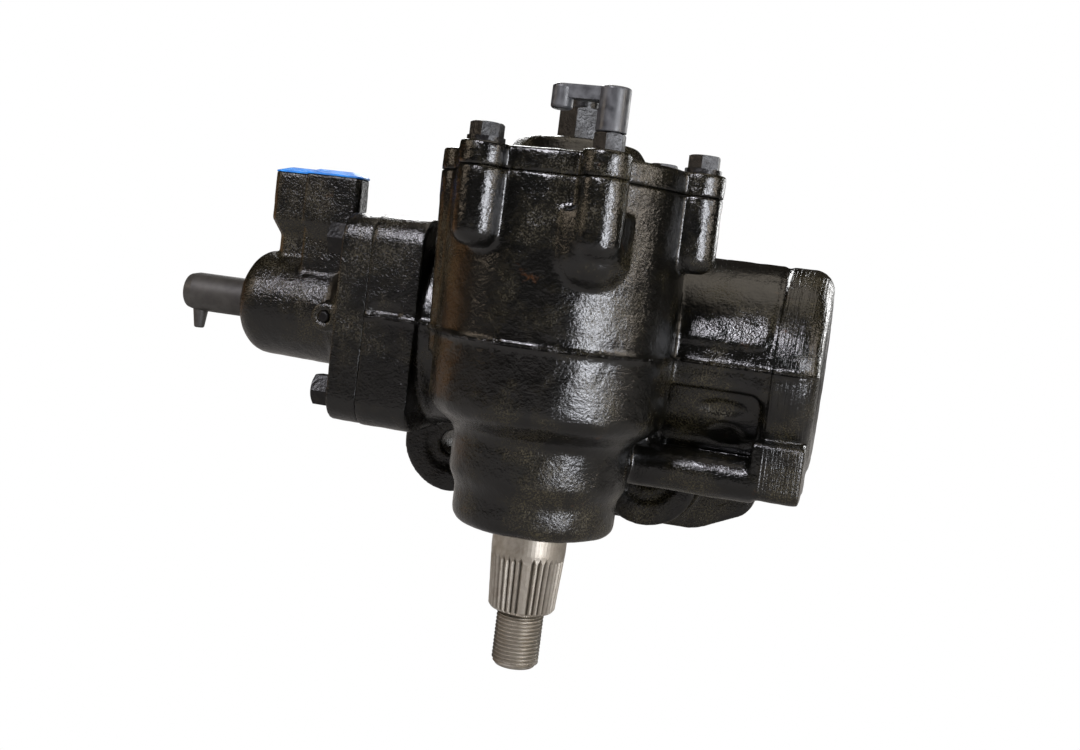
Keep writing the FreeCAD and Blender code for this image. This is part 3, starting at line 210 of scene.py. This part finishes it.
def circle_lines(tree, place):
    """Fine lines round the cylinder's axis."""
    return pattern(tree, stretched(tree, place, (1.0, 0.04, 0.04)), size_mm=0.9, detail=2.0)


def parting_line(tree, place):
    """A broken ridge on the gear housing, about 1.8 mm wide, where the halves of the mould met."""
    off = maths(tree, "SUBTRACT", along(tree, place, "Z"), parting_z)
    ridge = between(tree, maths(tree, "ABSOLUTE", off), 1.0, 0.0, 0.0, flash_half_width)
    broken = between(tree, pattern(tree, place, size_mm=3.0), 0.35, 1.0, start=0.4, end=0.6)
    mounting_face = after(tree, place, "Y", housing_high.y - 3.0 * MM, blend_mm=2.0)
    unmachined = between(tree, mounting_face, 1.0, 0.0, start=0.0, end=1.0)
    on_housing = times(tree, unmachined, after(tree, place, "X", housing_low.x, blend_mm=1.0))
    return times(tree, times(tree, ridge, broken), on_housing)


def axis_distance(tree, place):
    """Distance from the sector shaft's axis."""
    across = {0: place, 1: (1.0, 1.0, 0.0)}
    flat = add(tree, "ShaderNodeVectorMath", across, operation="MULTIPLY").outputs[0]
    return add(tree, "ShaderNodeVectorMath", {0: flat}, operation="LENGTH").outputs["Value"]


def taper_radius(tree, place):
    """Radius of the shaft's 1:8 serrated taper at a height, and 0 above and below the serrations."""
    height = along(tree, place, "Z")
    inputs = {"Value": height, "From Min": taper_low, "From Max": 0.0,
              "To Min": taper_low_r, "To Max": taper_high_r}
    surface = add(tree, "ShaderNodeMapRange", inputs, clamp=False).outputs["Result"]
    above_low = after(tree, place, "Z", serrations_low, blend_mm=0.3)
    below_high = between(tree, height, 1.0, 0.0, serrations_high - 0.6 * MM, serrations_high)
    return times(tree, surface, times(tree, above_low, below_high))


# Materials

def black_gloss_paint(name):
    """Sprayed black enamel over sand-cast iron: the grain of the sand breaks up a wet gloss, with
    olive road dust held in the grain where the spray was thin, and a little rust."""
    material, tree, shader, place = new_material(name)
    grain = pattern(tree, place, size_mm=1.25, detail=3.0, rough=0.6)
    ripple = pattern(tree, place, size_mm=6.0, detail=2.0)
    patches = pattern(tree, place, size_mm=34.0, detail=5.0, rough=0.66)
    pores = pattern(tree, place, size_mm=0.8, detail=2.0)
    spots = pattern(tree, place, size_mm=15.0, detail=6.0, rough=0.7)
    dust = between(tree, patches, 0.0, 1.0, start=0.47, end=0.70)
    held = times(tree, dust, between(tree, pores, 0.10, 1.0, start=0.45, end=0.66))
    rust = times(tree, between(tree, spots, 0.0, 1.0, start=0.66, end=0.74), 0.5)
    painted = tint(tree, held, "#050504", "#39331f")
    connect(tree, shader, base=tint(tree, rust, painted, "#4b2f1a"),
            rough=between(tree, held, 0.17, 0.60, start=0.0, end=0.8))
    off_flange = after(tree, place, "X", flange_back, blend_mm=6.0)
    rough_flange = between(tree, off_flange, 1.0, 0.62, start=0.0, end=1.0)
    rippled = bump(tree, ripple, depth_mm=0.36)
    sandy = bump(tree, times(tree, grain, rough_flange), depth_mm=0.38, below=rippled)
    turned_band = times(tree, circle_lines(tree, place), after(tree, place, "X", band_start, blend_mm=1.0))
    ringed = bump(tree, turned_band, depth_mm=0.5, below=sandy)
    connect(tree, shader, normal=bump(tree, parting_line(tree, place), depth_mm=1.2, below=ringed))
    return material


def painted_fastener(name):
    """Black enamel sprayed over a rolled steel head: smoother than the casting, thin in places."""
    material, tree, shader, place = new_material(name)
    peel = pattern(tree, place, size_mm=1.8)
    patches = pattern(tree, place, size_mm=7.0)
    thin = between(tree, patches, 0.0, 1.0, start=0.55, end=0.75)
    connect(tree, shader, base=tint(tree, thin, "#080707", "#211e18"),
            rough=between(tree, patches, 0.28, 0.45), normal=bump(tree, peel, depth_mm=0.3))
    shader.inputs["Specular IOR Level"].default_value = 0.28
    return material


def worn_ground_steel(name, light, dark, rough_low, rough_high):
    """Ground alloy steel that was handled and stored: grey with faint brown stains, fine lines round
    it and painted shade, a dark brown, at the bottom of the shaft's serrations."""
    material, tree, shader, place = new_material(name)
    stains = pattern(tree, place, size_mm=5.0, detail=5.0, rough=0.65)
    lines = pattern(tree, stretched(tree, place, (0.05, 0.05, 1.0)), size_mm=0.25, detail=2.0)
    pits = pattern(tree, place, size_mm=0.6)
    metal = tint(tree, between(tree, stains, 0.0, 1.0, start=0.35, end=0.75), light, dark)
    # Painted shade: the colour turns dark brown towards the bottom of the serration grooves, deeper ones
    # darker.
    depth = maths(tree, "SUBTRACT", taper_radius(tree, place), axis_distance(tree, place))
    serration_shade = between(tree, depth, 0.0, 0.85, start=0.35 * MM, end=1.3 * MM)
    connect(tree, shader, base=tint(tree, serration_shade, metal, "#2c251c"),
            rough=between(tree, stains, rough_low, rough_high))
    scored = bump(tree, lines, depth_mm=0.02, strength=0.5)
    connect(tree, shader, normal=bump(tree, pits, depth_mm=0.03, strength=0.5, below=scored))
    shader.inputs["Metallic"].default_value = 1.0
    return material


def polished_steel(name, colour):
    """Hardened and ground bearing steel: bright, with a faint oil film."""
    material, tree, shader, place = new_material(name)
    film = pattern(tree, place, size_mm=3.0)
    fine = pattern(tree, place, size_mm=0.4)
    connect(tree, shader, base=tint(tree, between(tree, film, 0.0, 0.5), colour, "#8d8a84"),
            rough=between(tree, film, 0.16, 0.3), normal=bump(tree, fine, depth_mm=0.01))
    shader.inputs["Metallic"].default_value = 1.0
    return material


def moulded_rubber(name, light, dark, rough_low, rough_high):
    """Moulded rubber: satin black, faint bloom and a fine mould texture."""
    material, tree, shader, place = new_material(name)
    bloom = pattern(tree, place, size_mm=4.0, detail=4.0)
    texture = pattern(tree, place, size_mm=0.5)
    connect(tree, shader, base=tint(tree, between(tree, bloom, 0.0, 1.0), dark, light),
            rough=between(tree, bloom, rough_low, rough_high),
            normal=bump(tree, texture, depth_mm=0.03, strength=0.6))
    shader.inputs["IOR"].default_value = 1.52
    return material


def moulded_polyethylene(name, light, dark, scatter):
    """Moulded polyethylene: waxy, slightly see-through at its edges, with flow marks."""
    material, tree, shader, place = new_material(name)
    flow = pattern(tree, place, size_mm=6.0)
    texture = pattern(tree, place, size_mm=1.2)
    connect(tree, shader, base=tint(tree, between(tree, flow, 0.0, 1.0), light, dark),
            rough=between(tree, flow, 0.42, 0.55), normal=bump(tree, texture, depth_mm=0.04, strength=0.5))
    shader.inputs["Subsurface Weight"].default_value = scatter
    shader.inputs["Subsurface Scale"].default_value = 2.0 * MM
    shader.inputs["IOR"].default_value = 1.51
    return material


def soft_metal(name, light, dark):
    """Turned brass or bronze, dulled by oil."""
    material, tree, shader, place = new_material(name)
    film = pattern(tree, place, size_mm=2.5, detail=4.0)
    connect(tree, shader, base=tint(tree, between(tree, film, 0.0, 1.0), light, dark),
            rough=between(tree, film, 0.25, 0.42), normal=bump(tree, film, depth_mm=0.02, strength=0.5))
    shader.inputs["Metallic"].default_value = 1.0
    return material


add_camera()

casting_paint = black_gloss_paint("sprayed_enamel_on_sand_cast_iron")
fastener_paint = painted_fastener("sprayed_enamel_on_bolt_heads")
shaft_steel = worn_ground_steel("stored_ground_alloy_steel", "#bdb8ae", "#9a9285", 0.34, 0.46)
inner_steel = worn_ground_steel("ground_hardened_steel", "#b3b1ab", "#85827b", 0.22, 0.36)
bearing_steel = polished_steel("polished_bearing_steel", "#c4c4c4")
seal_rubber = moulded_rubber("moulded_nitrile_rubber", "#24221f", "#12110f", 0.5, 0.65)
bleeder_rubber = moulded_rubber("moulded_epdm_rubber", "#3d3e40", "#222325", 0.34, 0.5)
cap_plastic = moulded_polyethylene("moulded_grey_polyethylene", "#34322f", "#24221f", 0.0)
port_plastic = moulded_polyethylene("moulded_blue_polyethylene", "#1b83dc", "#1266b8", 0.08)
bushing_bronze = soft_metal("rolled_bearing_bronze", "#a88350", "#7d5d34")
seat_brass = soft_metal("turned_brass", "#c9a45c", "#94733a")
filled_ptfe = moulded_rubber("filled_ptfe", "#3a3a38", "#232322", 0.35, 0.5)

finish_of_slot = {
    "housing_paint": casting_paint, "bolt_paint": fastener_paint, "plug_steel": fastener_paint,
    "bare_steel": shaft_steel, "hardened_steel": inner_steel, "bearing_steel": bearing_steel,
    "seal_rubber": seal_rubber, "cap_rubber": bleeder_rubber, "cap_plastic": cap_plastic,
    "port_plastic": port_plastic, "bushing_bronze": bushing_bronze, "seat_brass": seat_brass,
    "ptfe": filled_ptfe,
}
slot_of_node = {part["node"]: part["material_slot"] for part in frame["record"]["subparts"]}


def dress(piece, material):
    piece.data.materials.clear()
    piece.data.materials.append(material)


for node_name, node_object in nodes.items():
    dress(node_object, finish_of_slot[slot_of_node[node_name]])


# Working on meshes

def merged_copy(node_name):
    """A bmesh of a node with its loose triangles joined."""
    shape = bmesh.new()
    shape.from_mesh(nodes[node_name].data)
    bmesh.ops.remove_doubles(shape, verts=shape.verts, dist=0.002 * MM)
    return shape


def piece_from(shape, name, body, material, smooth=True):
    """A finished piece from a bmesh, riding on a body."""
    mesh = bpy.data.meshes.new(name)
    shape.to_mesh(mesh)
    shape.free()
    for face in mesh.polygons:
        face.use_smooth = smooth
    piece = bpy.data.objects.new(name, mesh)
    bpy.context.scene.collection.objects.link(piece)
    dress(piece, material)
    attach(piece, body)
    return piece


def with_modifier(shape, kind, **settings):
    """The bmesh after one modifier."""
    mesh = bpy.data.meshes.new("working")
    shape.to_mesh(mesh)
    shape.free()
    holder = bpy.data.objects.new("working", mesh)
    bpy.context.scene.collection.objects.link(holder)
    modifier = holder.modifiers.new("working", kind)
    for key, value in settings.items():
        setattr(modifier, key, value)
    graph = bpy.context.evaluated_depsgraph_get()
    result = bpy.data.meshes.new_from_object(holder.evaluated_get(graph))
    made = bmesh.new()
    made.from_mesh(result)
    bpy.data.objects.remove(holder)
    bpy.data.meshes.remove(mesh)
    bpy.data.meshes.remove(result)
    return made


def cut_off(shape, side, level):
    """Remove what lies above (side 1) or below (side -1) a height."""
    geometry = list(shape.verts) + list(shape.edges) + list(shape.faces)
    bmesh.ops.bisect_plane(shape, geom=geometry, plane_co=(0, 0, level), plane_no=(0, 0, side),
                           clear_outer=True)


def close_ends(shape):
    bmesh.ops.holes_fill(shape, edges=[edge for edge in shape.edges if edge.is_boundary])


# Castings, in millimetres

triangle_limit = 190000
crisp_mm = 2.6
large_lump, middle_lump, small_lump = (0.30, 17.0), (0.14, 6.0), (0.07, 2.6)
cover_rise_mm = 20.0
cover_joint_mm = cover_high.z / MM - cover_rise_mm
flange_joint_mm = housing_low.x / MM
mounting_face_mm = housing_high.y / MM
parting_mm = parting_z / MM


def lump(place, height_and_size):
    height, size = height_and_size
    return height * noise.noise(place / size)


def cast_skin(name, node_name, body, voxel_mm, rounds, joints, shaping=None):
    """A casting's real surface: edges and corners rounded by the mould, sand lumps and a parting flash.
    joints are the machined faces, as an axis number and a place in mm, that stay crisp."""
    shape = with_modifier(merged_copy(node_name), "REMESH", mode="VOXEL", voxel_size=voxel_mm * MM)
    before = [vertex.co.copy() for vertex in shape.verts]
    for _ in range(rounds):
        bmesh.ops.smooth_vert(shape, verts=shape.verts, factor=0.5,
                              use_axis_x=True, use_axis_y=True, use_axis_z=True)
    shape.normal_update()
    moved = []
    for vertex, start in zip(shape.verts, before):
        place = start / MM
        share = min(1.0, min(abs(place[axis] - level) for axis, level in joints) / crisp_mm)
        height = (lump(place, large_lump) + lump(place, middle_lump) + lump(place, small_lump)) * share
        if shaping:
            height += shaping(place, vertex.normal)
        moved.append(start.lerp(vertex.co, share) + vertex.normal * (height * MM))
    low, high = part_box(node_name)
    for vertex, place in zip(shape.verts, moved):
        vertex.co = [min(max(place[axis], low[axis]), high[axis]) for axis in range(3)]
    triangles = sum(len(face.verts) - 2 for face in shape.faces)
    if triangles > triangle_limit:
        shape = with_modifier(shape, "DECIMATE", ratio=triangle_limit / triangles)
    skin = piece_from(shape, name, body, casting_paint)
    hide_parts(node_name)


# Marks on the gear housing. The flash runs everywhere but near the chamber and on the mounting face.
# The hollows are at the right end of the front, each with its x, its z, and its reach along both.
chamber_reach_mm = 46
mounting_clear_mm = 2
flash_reach_mm = 4
flash_height_mm, flash_width_mm = 1.5, 1.1
flash_break_mm = 8
hollows_from_mm = 55
hollow_depth_mm = 2.2
hollows_mm = ((79, 77, 11, 3.6), (81, 64.5, 8, 4.6))
flange_left_mm, flange_right_mm = -96, -80
flange_dip_depth_mm, flange_dip_rise_mm, flange_dip_width_mm = 1.6, 3.5, 2.2


def bell(distance, width):
    return math.exp(-(distance / width) ** 2)


def housing_marks(place, normal):
    """Parting flash and foundry hollows of the gear housing, as a height in millimetres."""
    height = 0.0
    off = place.z - parting_mm
    near_chamber = Vector((place.x, place.y)).length < chamber_reach_mm
    machined = place.y > mounting_face_mm - mounting_clear_mm
    if abs(normal.z) < 0.6 and abs(off) < flash_reach_mm and not near_chamber and not machined:
        along_line = Vector((place.x / flash_break_mm, place.y / flash_break_mm, 3.0))
        broken = 0.7 + 0.5 * noise.noise(along_line)
        height += flash_height_mm * broken * bell(off, flash_width_mm)
    if normal.y < -0.2 and place.x > hollows_from_mm:
        for x, z, wide, tall in hollows_mm:
            reach = ((place.x - x) / wide) ** 2 + ((place.z - z) / tall) ** 2
            height -= hollow_depth_mm * math.exp(-reach ** 2)
    if normal.y < -0.8 and flange_left_mm < place.x < flange_right_mm:
        height -= flange_dip_depth_mm * bell(off - flange_dip_rise_mm, flange_dip_width_mm)
    return height


cast_skin("gear_housing_casting", "gear_housing", "root", 1.15, 3,
          [(2, cover_joint_mm), (0, flange_joint_mm), (1, mounting_face_mm)], housing_marks)
cast_skin("sector_cover_casting", "sector_cover", "root", 0.95, 2, [(2, cover_joint_mm)])
cast_skin("valve_housing_casting", "valve_housing", "root", 0.95, 3, [(0, flange_joint_mm)])


# Nut thread at the lower end of the sector shaft. The crest's end and the root's start and end are
# shares of the pitch.
thread_pitch = 1.814 * MM
thread_top = -31.0 * MM
thread_bottom = shaft_low.z
thread_major = 11.11 * MM
thread_root = thread_major - 1.1 * MM
thread_steps = 72
crest_end, root_start, root_end = 0.14, 0.5, 0.62
thread_overlap = 0.3 * MM
thread_trim = 0.2 * MM
chamfer_top = thread_bottom + 2.2 * MM
chamfer_slope = 0.9


def nut_thread():
    """The threaded end: one thread profile spun once round while it drops by one pitch."""
    shape = bmesh.new()
    turns = int((thread_top - thread_bottom) / thread_pitch) + 3
    start = thread_top + 1.5 * thread_pitch
    profile = []
    for index in range(turns + 1):
        crest = start - index * thread_pitch
        profile += [(thread_major, crest), (thread_major, crest - thread_pitch * crest_end),
                    (thread_root, crest - thread_pitch * root_start),
                    (thread_root, crest - thread_pitch * root_end)]
    points = [shape.verts.new((radius, 0, level)) for radius, level in profile]
    edges = [shape.edges.new(pair) for pair in zip(points, points[1:])]
    bmesh.ops.spin(shape, geom=points + edges, cent=(0, 0, 0), axis=(0, 0, 1), angle=2 * math.pi,
                   dvec=(0, 0, thread_pitch / thread_steps), steps=thread_steps, use_merge=False)
    bmesh.ops.remove_doubles(shape, verts=shape.verts, dist=0.01 * MM)
    cut_off(shape, 1, thread_top)
    cut_off(shape, -1, thread_bottom + thread_trim)
    close_ends(shape)
    for vertex in shape.verts:
        radius = math.hypot(vertex.co.x, vertex.co.y)
        limit = thread_major - max(0.0, chamfer_top - vertex.co.z) * chamfer_slope
        if radius > limit:
            vertex.co.x *= limit / radius
            vertex.co.y *= limit / radius
    bmesh.ops.recalc_face_normals(shape, faces=shape.faces)
    return shape


def sector_shaft_with_thread():
    """The sector shaft with its plain end cut off and the real thread in its place."""
    shape = merged_copy("sector_shaft")
    cut_off(shape, -1, thread_top + thread_overlap)
    close_ends(shape)
    thread = nut_thread()
    held = bpy.data.meshes.new("thread")
    thread.to_mesh(held)
    thread.free()
    shape.from_mesh(held)
    bpy.data.meshes.remove(held)
    shaft = piece_from(shape, "sector_shaft_threaded", "sector", shaft_steel, smooth=False)
    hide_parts("sector_shaft")


sector_shaft_with_thread()


# Studio, in metres. Each lamp has its place, width, height, power in watts and colour.
floor_z = cad_box[0].z - 0.5 * MM
floor_half = 6.0
lamp_aim = Vector((0.0, 0.03, 0.09))
lamps = {
    "window_right": ((0.84, -0.71, 0.18), 0.34, 0.42, 13.0, "#f6f8ff"),
    "window_front": ((-0.35, -0.95, 0.86), 0.34, 0.24, 17.0, "#f8f6ff"),
    "ceiling": ((0.1, 0.1, 1.3), 1.1, 0.9, 4.5, "#fff3e2"),
    "strip_right": ((1.1, -0.2, 0.45), 0.10, 0.7, 4.0, "#fff1e0"),
    "window_left": ((-1.0, -0.45, 0.5), 0.15, 0.5, 2.0, "#ffe9cf"),
    "wooden_wall": ((-0.9, 0.3, -0.1), 0.6, 0.6, 1.1, "#b98a5c"),
    "back_left": ((-0.5, 1.1, 0.8), 0.4, 0.4, 9.0, "#ffffff"),
    "back_right": ((0.7, 1.1, 0.35), 0.3, 0.5, 5.0, "#ffffff"),
}


def softbox(name, place, width, height, power, colour):
    """A rectangular lamp that points at the object."""
    data = bpy.data.lights.new(name, "AREA")
    data.shape = "RECTANGLE"
    data.size = width
    data.size_y = height
    data.energy = power
    data.color = linear(colour)[:3]
    lamp = bpy.data.objects.new(name, data)
    lamp.location = place
    lamp.rotation_euler = (lamp_aim - Vector(place)).to_track_quat("-Z", "Y").to_euler()
    bpy.context.scene.collection.objects.link(lamp)


def white_where_seen(tree, output, other, white_kind):
    """Pure white for rays from the camera, straight or through clear material, and other for the rest."""
    white = add(tree, white_kind, {"Color": linear("#ffffff"), "Strength": 1.0})
    rays = add(tree, "ShaderNodeLightPath").outputs
    seen = maths(tree, "MAXIMUM", rays["Is Camera Ray"], rays["Is Transmission Ray"])
    mix = add(tree, "ShaderNodeMixShader", {0: seen, 1: other.outputs[0], 2: white.outputs[0]})
    add(tree, output, {"Surface": mix.outputs[0]})


def add_floor():
    """Pale floor: white to the camera and through clear material, grey paper to all other rays."""
    shape = bmesh.new()
    bmesh.ops.create_grid(shape, x_segments=1, y_segments=1, size=floor_half)
    bmesh.ops.translate(shape, verts=shape.verts, vec=(0, 0, floor_z))
    mesh = bpy.data.meshes.new("studio_floor")
    shape.to_mesh(mesh)
    shape.free()
    floor = bpy.data.objects.new("studio_floor", mesh)
    bpy.context.scene.collection.objects.link(floor)
    material = bpy.data.materials.new("white_paper_floor")
    material.use_nodes = True
    tree = material.node_tree
    tree.nodes.clear()
    paper = add(tree, "ShaderNodeBsdfDiffuse", {"Color": linear("#a09e9b")})
    white_where_seen(tree, "ShaderNodeOutputMaterial", paper, "ShaderNodeEmission")
    dress(floor, material)


def add_world():
    """White behind the object to the camera, and a dim room in its reflections."""
    world = bpy.data.worlds.new("studio_room")
    bpy.context.scene.world = world
    world.use_nodes = True
    tree = world.node_tree
    tree.nodes.clear()
    room = add(tree, "ShaderNodeBackground", {"Color": linear("#b3a692"), "Strength": 0.055})
    white_where_seen(tree, "ShaderNodeOutputWorld", room, "ShaderNodeBackground")


for lamp_name, lamp_settings in lamps.items():
    softbox(lamp_name, *lamp_settings)
add_floor()
add_world()
bpy.context.scene.view_settings.view_transform = "Standard"
